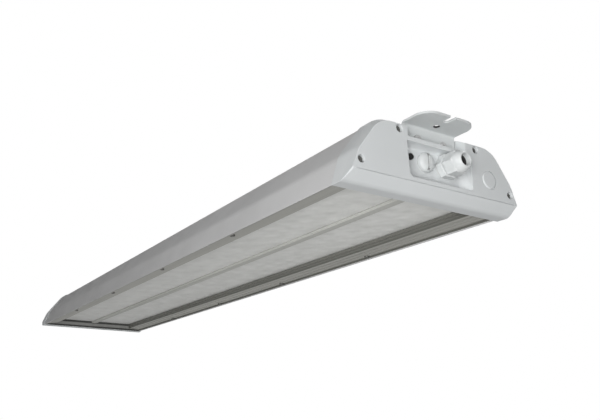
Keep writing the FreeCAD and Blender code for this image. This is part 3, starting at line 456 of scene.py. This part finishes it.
cap_cutters = [
    hollow(recess_corners, RECESS_FLOOR, RECESS_FEET, 0.5),
    hollow(pocket_corners, POCKET_FLOOR, POCKET_FEET, 0.4),
    block(box_corners(-SEAM_HALF, SEAM_HALF, SEAM_BASE, SEAM_TOP), CAP_FACE - SEAM_DEPTH, CUT_FRONT),
    loft([(-2 * SKIRT, skirt_inside), (0, skirt_inside)]),
    block(box_corners(*ENTRY_CORE), CUT_BACK, RECESS_FLOOR - CAST_WALL),
    block(box_corners(*LOW_CORE), CUT_BACK, LOW_CORE_FRONT),
    block(side_core, CUT_BACK, SIDE_CORE_FRONT),
    block([(-side, rise) for side, rise in side_core[::-1]], CUT_BACK, SIDE_CORE_FRONT),
    *[sunk_hole(side, rise, HEAD_HOLE, SUNK_DEPTH) for side, rise in SUNK_SCREWS],
    *[drilled(side, rise, SHANK_HOLE, CUT_BACK, CAP_FACE - SUNK_DEPTH + 1) for side, rise in SUNK_SCREWS],
    *[drilled(side, rise, BRACKET_HOLE, POCKET_FLOOR - BOSS_BACK, POCKET_FLOOR + 1)
      for side, rise in BRACKET_SCREWS],
    loft([(CAP_FACE - SLOT_DEPTH, slot_walls), (CUT_FRONT, slot_walls)]),
]
entry_cutters = [drilled(side, rise, radius, 1, RECESS_FLOOR + 1) for side, rise, radius in ENTRY_HOLES]
cap_paint = powder_coat("cap powder coat", (0.595, 0.615, 0.62), (0.635, 0.655, 0.66))
casting = cap_casting()
for end, sign, cutters in (("supply", 1, cap_cutters + entry_cutters), ("far", -1, cap_cutters)):
    cap_mesh = cut_away(mesh_of(f"end_cap_{end}", *at_end(casting, sign)),
                        [at_end(tool, sign) for tool in cutters], [at_end(knock_out, sign)])
    piece(f"cap_{end}", cap_mesh, cap_paint, [f"end_cap_{end}"], sharp_angle=40)

# End gaskets, lens seals and washers: rubber sheet and strip squeezed between hard faces. The gaskets are
# grey foam with dark bands painted at their top and bottom as painted shade in the gaps there, the washers
# are pale, and the sleeve that clamps the cable is dark.
# They keep their solids, because only their edges show.


def sealing_rubber(name, low, high):
    """Dull rubber with a cloudy tone and a fine grain."""
    material, tree, shader, place = new_finish(name, 0.75)
    ramp(tree, noise(tree, place, 60, 3), [(0.3, low), (0.7, high)], shader.inputs["Base Color"])
    bump(tree, noise(tree, place, 900, 2), 0.2, 0.0003, shader)
    return material


def finish_node(name, material):
    """Gives a node that keeps its solid its finish."""
    nodes[name].data.materials.clear()
    nodes[name].data.materials.append(material)


grey_rubber = sealing_rubber("grey sealing rubber", (0.17, 0.17, 0.165), (0.22, 0.22, 0.21))
dark_rubber = sealing_rubber("dark sealing rubber", (0.018, 0.018, 0.018), (0.035, 0.035, 0.034))
pale_rubber = sealing_rubber("pale sealing rubber", (0.50, 0.51, 0.50), (0.56, 0.57, 0.56))
for name in ("lens_seal_left", "lens_seal_right"):
    finish_node(name, grey_rubber)
for name in ("gland_washer", "plug_washer"):
    finish_node(name, pale_rubber)
finish_node("gland_seal", dark_rubber)
# Gasket colour by height: grey foam between dark bands low and high, which are painted shade of the gaps at
# its edges.
gasket_rubber_painted_shade, tree, shader, place = new_finish("foam with painted shade bands", 0.75)
SHADE_BAND_RANGE = 20
axes = tree.nodes.new("ShaderNodeSeparateXYZ")
tree.links.new(place, axes.inputs["Vector"])
height = tree.nodes.new("ShaderNodeMapRange")
height.inputs["From Min"].default_value = -HANG_HEIGHT / 1000
height.inputs["From Max"].default_value = (SHADE_BAND_RANGE - HANG_HEIGHT) / 1000
tree.links.new(axes.outputs["Z"], height.inputs["Value"])
PAINTED_GAP_SHADE, FOAM = (0.045, 0.045, 0.042), (0.26, 0.26, 0.25)
ramp(tree, height.outputs["Result"], [(0.24, PAINTED_GAP_SHADE), (0.32, FOAM), (0.56, FOAM), (0.64, PAINTED_GAP_SHADE)],
     shader.inputs["Base Color"])
bump(tree, noise(tree, place, 900, 2), 0.2, 0.0003, shader)
for name in ("end_gasket_supply", "end_gasket_far"):
    finish_node(name, gasket_rubber_painted_shade)

# Screws: steel, plain on the brackets and dulled on the caps and rails, each with a rounded head and a
# hexagon socket. Four hold each end cap, two each bracket and four each rail.


def screw(head_radius, head_height, shank_radius, shank_long, socket):
    """Screw along its first axis with the head's seat at zero: the head's edge is a quarter round, and the
    socket is a hexagon of the given half width."""
    edge = min(head_height * 0.45, head_radius * 0.3)
    turns = np.linspace(0, np.pi / 2, 5)
    corner = [(head_height - edge + edge * s, head_radius - edge + edge * c)
              for s, c in zip(np.sin(turns), np.cos(turns))]
    depth = head_height * 0.55
    profile = [(-shank_long, 0), (-shank_long, shank_radius * 0.8), (0.8 - shank_long, shank_radius),
               (0, shank_radius), (0, head_radius), *corner, (head_height, socket * 1.2),
               (head_height - 0.15, socket, 1), (head_height - depth, socket, 1),
               (head_height - depth - 0.3, 0)]
    return lathe(profile, 30)


def screw_metal(name, low, high, metallic):
    """Plain screw metal with a mottled tone and a fine drawn grain."""
    material, tree, shader, place = new_finish(name, 0.5, metallic=metallic)
    ramp(tree, noise(tree, place, 300, 3), [(0.3, low), (0.7, high)], shader.inputs["Base Color"])
    bump(tree, noise(tree, place, 1500, 2), 0.15, 0.0002, shader)
    return material


steel = screw_metal("plain stainless", (0.5, 0.5, 0.5), (0.6, 0.6, 0.6), 0.5)
dull_steel = screw_metal("dull dark steel", (0.09, 0.09, 0.085), (0.14, 0.14, 0.13), 0.4)
cap_screw = screw(head_radius=3.6, head_height=2.4, shank_radius=2, shank_long=38.5, socket=1.2)
bracket_screw = screw(head_radius=4.5, head_height=2.8, shank_radius=2.45, shank_long=12, socket=1.4)
BRACKET_SHEET = 2.5
for end, sign in (("supply", 1), ("far", -1)):
    for label, shape, metal, seat, spots in (
            ("end_cap_screws", cap_screw, dull_steel, CAP_FACE - SUNK_DEPTH, SUNK_SCREWS),
            ("bracket_screws", bracket_screw, steel, POCKET_FLOOR + BRACKET_SHEET, BRACKET_SCREWS)):
        screws = several(shape, [(seat, *spot) for spot in spots])
        group = mesh_of(f"{label}_{end}", *at_end(screws, sign))
        piece(f"{label}_{end}_turned", group, metal, [f"{label}_{end}"], sharp_angle=40)

# Brackets: folded from 2.5 mm sheet and painted, with a round hole and a slot that is open to the end. Their
# punched and folded edges are slightly rounded over by the paint, and the hole's wall is painted near-black
# metal, as painted shade inside the hole.
FIXING_X, FIXING_REACH = 598, 3.6


def eased_copy(node, width, material):
    """Copy of a node's solid with its loose triangles merged into faces and its edges eased by a small
    bevel. The wall of the fixing hole, which lies within a reach of the hole's axis, is marked for painted
    shade."""
    edit = bmesh.new()
    edit.from_mesh(nodes[node].data)
    bmesh.ops.remove_doubles(edit, verts=edit.verts, dist=1e-6)
    bmesh.ops.dissolve_limit(edit, angle_limit=math.radians(0.5), verts=edit.verts, edges=edit.edges)
    mesh = bpy.data.meshes.new(f"{node}_eased")
    edit.to_mesh(mesh)
    edit.free()
    mark_faces(mesh, lambda x, y, z: np.hypot(abs(x) - FIXING_X, y) < FIXING_REACH)
    piece(f"{node}_eased", mesh, material, [node], soft_edge=width, sharp_angle=35)


bracket_paint = powder_coat("bracket powder coat", (0.555, 0.575, 0.575), (0.60, 0.62, 0.62))
# The fixing hole's wall gets a near-black metal tone: painted shade inside the hole.
bare_finish_and_painted_shade(bracket_paint, (0.03, 0.03, 0.03), (0.05, 0.05, 0.05), 0.3)
for end in ("supply", "far"):
    eased_copy(f"bracket_{end}", 0.45, bracket_paint)

# Rails: bare extruded aluminium along both sides of the underside. The flange is screwed to the housing's
# ledge, and the stepped inner wall carries the edge of a lens panel on its foot.
METAL_LOW, METAL_HIGH = (0.38, 0.38, 0.352), (0.465, 0.465, 0.432)
rail_metal, tree, shader, place = new_finish("bare extruded aluminium", 0.5, metallic=0.6)
streaks = noise(tree, place, 90, 4, (0.02, 1, 1))
ramp(tree, streaks, [(0.3, METAL_LOW), (0.7, METAL_HIGH)], shader.inputs["Base Color"])
grey_range(tree, noise(tree, place, 260, 3, (0.02, 1, 1)), 0.42, 0.6, shader.inputs["Roughness"])
bump(tree, noise(tree, place, 900, 2, (0.01, 1, 1)), 0.25, 0.0003, shader)
# The inner walls and the right rail's outer edge get a much darker second tone. It is painted shade, darkest
# low on the wall, where the channel's shade falls.
bare_finish_and_painted_shade(rail_metal, (0.13, 0.13, 0.115), (0.18, 0.18, 0.16), 0.4)
RAIL_SEAT = 4.4
rail_section = outline([
    (84.5, 6, 3.2), (92, 6, 0.15), (92, 5.2, 0.25), (100, 5.2, 0.15), (100, RAIL_SEAT, 0.25),
    (107.9, RAIL_SEAT, 0.2), (107.9, 2.2, 0.3), (109.5, 2.2, 0.3), (109.5, 7.5, 0.3), (86.5, 7.5, 0.3),
    (86.5, 13.5, 0.3), (91.4, 13.5, 0.3), (91.4, 15.5, 0.3), (83, 15.5, 0.3), (83, 11.4, 0.3),
    (84.5, 11.4, 0.2)], 6)
RAIL_SCREW_SIDE, RAIL_SCREWS = 104.5, 4
INNER_WALL, OUTER_EDGE = 86, 107.8
SHADE_HEIGHTS, SHADE_SHARES = (5.9, 6.1, 8.4, 8.6), (0, 1, 1, 0.75)
rail_screw_x = (np.arange(RAIL_SCREWS) - (RAIL_SCREWS - 1) / 2) * 2 * HOUSING_END / (RAIL_SCREWS + 1)


def turned_down(shape):
    """Turned shape with its axis set along -Z: the first axis becomes the third, reversed."""
    points, faces = shape
    return points[:, [2, 1, 0]] * (1, 1, -1), faces


def rail_painted_shade(x, y, z):
    """Share of painted shade: full low on the inner wall, weaker above it, full on the right outer edge."""
    return np.where(abs(y) < INNER_WALL, np.interp(z, SHADE_HEIGHTS, SHADE_SHARES), y > OUTER_EDGE)


rail_bar = swept([rail_section], -HOUSING_END, HOUSING_END)
rail_screw = turned_down(screw(head_radius=3.3, head_height=2.2, shank_radius=1.9, shank_long=8, socket=1.2))
for side, sign in (("right", 1), ("left", -1)):
    rail_mesh = mesh_of(f"rail_{side}", rail_bar[0] * (sign, sign, 1), rail_bar[1])
    mark_faces(rail_mesh, rail_painted_shade)
    piece(f"rail_{side}_drawn", rail_mesh, rail_metal, [f"rail_{side}"])
    places = [(x, sign * RAIL_SCREW_SIDE, RAIL_SEAT) for x in rail_screw_x]
    screws_mesh = mesh_of(f"rail_screws_{side}", *several(rail_screw, places))
    piece(f"rail_screws_{side}_turned", screws_mesh, dull_steel, [f"rail_screws_{side}"],
          sharp_angle=40)

# LED boards: white solder mask on a metal core, with a grid of LED packages, one behind each lenslet. They
# lie against the housing's web, behind the frosted lens panels.
BOARDS = 4
LED_ROWS, ROW_PITCH = 4, 19.6
LED_COLUMNS, COLUMN_PITCH = 11, 25.4
LED_LEVEL = 22.4
led_across = (np.arange(LED_ROWS) - (LED_ROWS - 1) / 2) * ROW_PITCH
led_along = (np.arange(LED_COLUMNS) - (LED_COLUMNS - 1) / 2) * COLUMN_PITCH
mask, tree, shader, place = new_finish("white solder mask", 0.35)
ramp(tree, noise(tree, place, 120, 3), [(0.3, (0.68, 0.68, 0.66)), (0.7, (0.74, 0.74, 0.72))],
     shader.inputs["Base Color"])
bump(tree, noise(tree, place, 500, 2), 0.1, 0.0002, shader)
phosphor, tree, shader, place = new_finish("LED phosphor", 0.4)
ramp(tree, noise(tree, place, 800, 2), [(0.3, (0.66, 0.63, 0.50)), (0.7, (0.72, 0.69, 0.56))],
     shader.inputs["Base Color"])
led_profile = [(0, 2.1, 1), (0.7, 2.1, 1), (0.75, 1.6), (1.15, 1.2), (1.4, 0.6), (1.5, 0)]
led_package = turned_down(lathe(led_profile, 12))
for side in ("left", "right"):
    for number in range(1, BOARDS + 1):
        board = f"led_board_{side}_{number}"
        finish_node(board, mask)
        low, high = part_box(board)
        middle = np.array((low + high) / 2) * 1000
        across, along = np.meshgrid(led_across + middle[1], led_along + middle[0])
        places = np.column_stack([along.ravel(), across.ravel(), np.full(along.size, LED_LEVEL)])
        led_mesh = mesh_of(f"leds_{side}_{number}", *several(led_package, places))
        piece(f"leds_{side}_{number}", led_mesh, phosphor, [])

# Lens panels: moulded sheets with a lenslet over every LED, frosted so that the grid only shows faintly.
# Each rests on the rib's head and, over a sealing strip, on its rail's foot.
LENS_BASE, LENS_TOP = 16.5, 19.5
LENS_SPAN = (3.0, 91.0)
BOARD_MIDDLE, BOARD_PITCH = 45, 2 * HOUSING_END / BOARDS
LENSLET_RADIUS, LENSLET_DROP = 8.6, 0.35


def to_nearest(place, pitch, count):
    """Distance from a place to the nearest of a count of points, a pitch apart and centred on zero."""
    last = (count - 1) / 2
    return place - pitch * (np.clip(np.round(place / pitch + last), 0, count - 1) - last)


def lens_panel(columns=620, rows=64):
    """Sheet whose underside drops below its level by a lenslet's cap, drop * (1 - (r / radius)^2)^1.5,
    where r is the distance to the nearest point of the LED grid. The top is level, and the rim joins
    both."""
    x, y = np.meshgrid(np.linspace(-HOUSING_END, HOUSING_END, columns), np.linspace(*LENS_SPAN, rows))
    along_board = (x + HOUSING_END) % BOARD_PITCH - BOARD_PITCH / 2
    to_column = to_nearest(along_board, COLUMN_PITCH, LED_COLUMNS)
    to_row = to_nearest(y - BOARD_MIDDLE, ROW_PITCH, LED_ROWS)
    share = np.clip(1 - (to_column ** 2 + to_row ** 2) / LENSLET_RADIUS ** 2, 0, 1)
    under = np.stack([x, y, LENS_BASE - LENSLET_DROP * share ** 1.5], -1).reshape(-1, 3)
    index = np.arange(rows * columns).reshape(rows, columns)
    lower = np.stack([index[:-1, :-1], index[1:, :-1], index[1:, 1:], index[:-1, 1:]], -1).reshape(-1, 4)
    edge = np.concatenate([index[0], index[1:, -1], index[-1, -2::-1], index[-2:0:-1, 0]])
    rim = under[edge] * (1, 1, 0) + (0, 0, LENS_TOP)
    top = len(under) + np.arange(len(edge))
    sides = np.column_stack([edge, np.roll(edge, -1), np.roll(top, -1), top])
    return np.concatenate([under, rim]), lower.tolist() + sides.tolist() + [top.tolist()]


lens_finish, tree, shader, place = new_finish("frosted lens", 0.45, specular=0.3)
shader.inputs["IOR"].default_value = 1.49
ramp(tree, noise(tree, place, 45, 5), [(0.3, (0.725, 0.73, 0.705)), (0.7, (0.85, 0.855, 0.83))],
     shader.inputs["Base Color"])
grey_range(tree, noise(tree, place, 150, 3), 0.4, 0.55, shader.inputs["Roughness"])
bump(tree, noise(tree, place, 600, 2), 0.1, 0.0004, shader)
lens_points, lens_faces = lens_panel()
for side, sign in (("right", 1), ("left", -1)):
    lens_mesh = mesh_of(f"lens_{side}", lens_points * (sign, sign, 1), lens_faces)
    piece(f"lens_{side}_moulded", lens_mesh, lens_finish, [f"lens_{side}"], sharp_angle=40)

# Cable gland: moulded body screwed into the recess floor, with a domed clamping nut over a rubber sleeve. The
# supply cable would go in through the nut's mouth.
ENTRY_SEAT = SEAT + RECESS_FLOOR


def moulded(name, low, high, roughness, specular=0.5):
    """Moulded plastic: a cloudy tone, uneven gloss and the fine grain of its mould."""
    material, tree, shader, place = new_finish(name, roughness, specular=specular)
    ramp(tree, noise(tree, place, 80, 3), [(0.3, low), (0.7, high)], shader.inputs["Base Color"])
    gloss = noise(tree, place, 300, 2)
    grey_range(tree, gloss, roughness - 0.06, roughness + 0.08, shader.inputs["Roughness"])
    bump(tree, noise(tree, place, 1200, 2), 0.1, 0.0002, shader)
    return material


entry_plastic = moulded("light grey moulded plastic", (0.60, 0.62, 0.62), (0.66, 0.68, 0.68), 0.4)
# The coin slot's floor and lower walls get a darker grey: painted shade inside the slot.
bare_finish_and_painted_shade(entry_plastic, (0.28, 0.28, 0.28), (0.34, 0.34, 0.34), 0.0)
gland_profile = [
    (-13, 7), (-13, 9.4), (-12.4, 10), (1.2, 10), (1.2, 11.2), (1.4, 11.6, 0.6), (1.9, 12, 1), (8.5, 12, 1),
    (9.0, 11.6, 0.6), (9.2, 11.0), (9.2, 9), (14.2, 9), (14.2, 7)]
gland_shape = set_at(lathe(gland_profile, 72, closed=True), ENTRY_SEAT, GLAND_SIDE, ENTRY_RISE)
gland_mesh = mesh_of("gland_body", *gland_shape)
piece("gland_body_moulded", gland_mesh, entry_plastic, ["gland_body"])
dome = [(23.4 + 8.0 * share, 11.5 - 3.2 * share ** 1.6) for share in np.linspace(0, 1, 8)]
nut_profile = [
    (10.2, 9.1), (10.2, 10.8), (10.4, 11.2, 0.6), (10.9, 11.5, 1), (22.4, 11.5, 1), (23.0, 11.5, 0.7),
    (23.2, 11.5, 0.25), *dome, (31.7, 8.0), (31.8, 7.6), (31.8, 7.0), (31.5, 6.6), (31.0, 6.5), (20.2, 6.5),
    (20.2, 9.1)]
nut_shape = set_at(lathe(nut_profile, 72, closed=True), ENTRY_SEAT, GLAND_SIDE, ENTRY_RISE)
nut_mesh = mesh_of("gland_nut", *nut_shape)
piece("gland_nut_moulded", nut_mesh, entry_plastic, ["gland_nut"])

# Blanking plug: moulded in the gland's plastic, it closes the second entry over a washer. A coin turns it
# by the slot across its domed head.
COIN_SLOT_HALF, COIN_SLOT_REACH, COIN_SLOT_FLOOR, COIN_SLOT_FRONT = 1.3, 8, 5.0, 12
SHADED_HALF, SHADED_FROM, SHADED_TO = 1.35, 4.9, 6.6
plug_dome = [(2.8 + 4.4 * math.sin(a), 3.5 + 7.0 * math.cos(a)) for a in np.linspace(0, math.pi / 2, 9)]
plug_profile = [(-13, 0), (-13, 7.4), (-12.4, 8), (1.2, 8), (1.2, 10.3), (1.4, 10.5), *plug_dome, (7.2, 0)]
plug_body = mesh_of("plug", *set_at(lathe(plug_profile, 64), ENTRY_SEAT, PLUG_SIDE, ENTRY_RISE))
slot_box = box_corners(-COIN_SLOT_HALF, COIN_SLOT_HALF, -COIN_SLOT_REACH, COIN_SLOT_REACH)
slot_outline = outline([(*corner, 1.2) for corner in slot_box], 6)
slot_shape = loft([(COIN_SLOT_FLOOR, slot_outline), (COIN_SLOT_FRONT, slot_outline)])
plug_mesh = cut_away(plug_body, [set_at(slot_shape, ENTRY_SEAT, PLUG_SIDE, ENTRY_RISE)])


def coin_slot_painted_shade(x, y, z):
    """Faces of the coin slot's floor and the lower part of its walls, which get painted shade."""
    depth = x - ENTRY_SEAT
    return (abs(y - PLUG_SIDE) < SHADED_HALF) & (depth > SHADED_FROM) & (depth < SHADED_TO)


mark_faces(plug_mesh, coin_slot_painted_shade)
piece("blanking_plug_moulded", plug_mesh, entry_plastic, ["blanking_plug"],
      soft_edge=0.25, sharp_angle=40)

# Vent plug: small black moulding that lets the housing breathe without letting water in, pressed into the
# recess floor beside the entries.
black_plastic = moulded("black moulded plastic", (0.008, 0.008, 0.008), (0.014, 0.014, 0.014), 0.55, 0.2)
vent_edge = [(2.2 + 0.8 * math.sin(a), 2.6 + 0.8 * math.cos(a)) for a in np.linspace(0, math.pi / 2, 6)]
vent_profile = [
    (-9, 0), (-9, 2.2), (-8.6, 2.4), (0, 2.4), (0, 3.4), *vent_edge, (3.0, 1.5), (2.5, 1.1), (2.5, 0)]
vent = mesh_of("vent", *set_at(lathe(vent_profile, 40), ENTRY_SEAT, VENT_SIDE, VENT_RISE))
piece("vent_plug_moulded", vent, black_plastic, ["vent_plug"])

# Driver, terminals and leads: a sheet metal case, a white moulded block and insulated wires. This gear lies
# inside the closed chamber, so it keeps its solids and only gets its finishes.
driver_case, tree, shader, place = new_finish("plain driver sheet", 0.4, metallic=0.9)
ramp(tree, noise(tree, place, 60, 3, (0.1, 1, 1)), [(0.3, (0.48, 0.48, 0.49)), (0.7, (0.58, 0.58, 0.59))],
     shader.inputs["Base Color"])
terminal_plastic = moulded("white terminal plastic", (0.62, 0.62, 0.59), (0.68, 0.68, 0.65), 0.45)
lead_cover = moulded("dark lead insulation", (0.02, 0.02, 0.022), (0.035, 0.035, 0.037), 0.5)
for name, material in (
        ("led_driver", driver_case), ("driver_screws", steel), ("terminal_block", terminal_plastic),
        ("mains_leads", lead_cover), ("output_leads", lead_cover)):
    finish_node(name, material)

# Stage: a plain pale floor well below the light, a white background for what the camera and shiny faces
# see, soft lamps near the camera's side, and two behind, for the back and the top and for the floor.
FLOOR_LEVEL, FLOOR_REACH, FLOOR_GLOW = -2.5, 60, 0.28


def seen_rays(tree):
    """1 for what the camera sees, also in a shiny face or through a clear one, and 0 for other light."""
    rays = tree.nodes.new("ShaderNodeLightPath")
    seen = rays.outputs["Is Camera Ray"]
    for kind in ("Is Glossy Ray", "Is Transmission Ray"):
        larger = tree.nodes.new("ShaderNodeMath")
        larger.operation = "MAXIMUM"
        tree.links.new(seen, larger.inputs[0])
        tree.links.new(rays.outputs[kind], larger.inputs[1])
        seen = larger.outputs[0]
    return seen


floor_mesh = bpy.data.meshes.new("floor")
floor_corners = [(x * FLOOR_REACH, y * FLOOR_REACH, FLOOR_LEVEL)
                 for x, y in ((-1, -1), (1, -1), (1, 1), (-1, 1))]
floor_mesh.from_pydata(floor_corners, [], [(0, 1, 2, 3)])
floor = bpy.data.objects.new("floor", floor_mesh)
bpy.context.scene.collection.objects.link(floor)
floor_finish, tree, shader, place = new_finish("pale floor", 0.8)
ramp(tree, noise(tree, place, 3, 3), [(0.3, (0.78, 0.78, 0.78)), (0.7, (0.82, 0.82, 0.82))],
     shader.inputs["Base Color"])
shader.inputs["Emission Color"].default_value = (1, 1, 1, 1)
glow = tree.nodes.new("ShaderNodeMath")
glow.operation = "MULTIPLY"
glow.inputs[1].default_value = FLOOR_GLOW
tree.links.new(seen_rays(tree), glow.inputs[0])
tree.links.new(glow.outputs[0], shader.inputs["Emission Strength"])
floor_mesh.materials.append(floor_finish)

world = bpy.data.worlds.new("studio")
bpy.context.scene.world = world
world.use_nodes = True
tree = world.node_tree
surround = tree.nodes["Background"]
surround.inputs["Color"].default_value = (1, 1, 1, 1)
surround.inputs["Strength"].default_value = 0.03
white = tree.nodes.new("ShaderNodeBackground")
white.inputs["Color"].default_value = (1, 1, 1, 1)
white.inputs["Strength"].default_value = 1.0
mixed = tree.nodes.new("ShaderNodeMixShader")
tree.links.new(seen_rays(tree), mixed.inputs["Fac"])
tree.links.new(surround.outputs[0], mixed.inputs[1])
tree.links.new(white.outputs[0], mixed.inputs[2])
tree.links.new(mixed.outputs[0], tree.nodes["World Output"].inputs["Surface"])


def soft_lamp(name, place, aim, size, power):
    """Square area lamp at a place, turned to its aim."""
    data = bpy.data.lights.new(name, "AREA")
    data.size = size
    data.energy = power
    lamp = bpy.data.objects.new(name, data)
    lamp.location = place
    lamp.rotation_euler = (Vector(aim) - Vector(place)).to_track_quat("-Z", "Y").to_euler()
    bpy.context.scene.collection.objects.link(lamp)


soft_lamp("key", (1.6, -0.9, -0.6), (0.4, 0, -0.05), 0.8, 17)
soft_lamp("side", (1.2, -1.15, -0.2), (0.45, 0, -0.05), 0.8, 8)
soft_lamp("back", (-1.9, 1.7, 1.0), (-0.1, 0, -0.04), 1.2, 24)
soft_lamp("overhead", (-0.8, 5.2, 5.6), (0, 0.5, -1.5), 3.0, 330)

# Camera: at the photograph's place, below and beyond the supply end, looking up along the light. Its place
# and direction were worked out from the light's own parallel edges.
CAMERA_PLACE = Vector((1.0797, -0.4787, -0.3012))
CAMERA_AHEAD = Vector((-0.8033, 0.5155, 0.2983))
camera_data = bpy.data.cameras.new("camera")
camera_data.lens = 41.5
camera_data.sensor_width = 36
camera = bpy.data.objects.new("camera", camera_data)
camera.location = CAMERA_PLACE
camera.rotation_euler = CAMERA_AHEAD.to_track_quat("-Z", "Y").to_euler()
bpy.context.scene.collection.objects.link(camera)
bpy.context.scene.camera = camera
bpy.context.scene.view_settings.view_transform = "Standard"
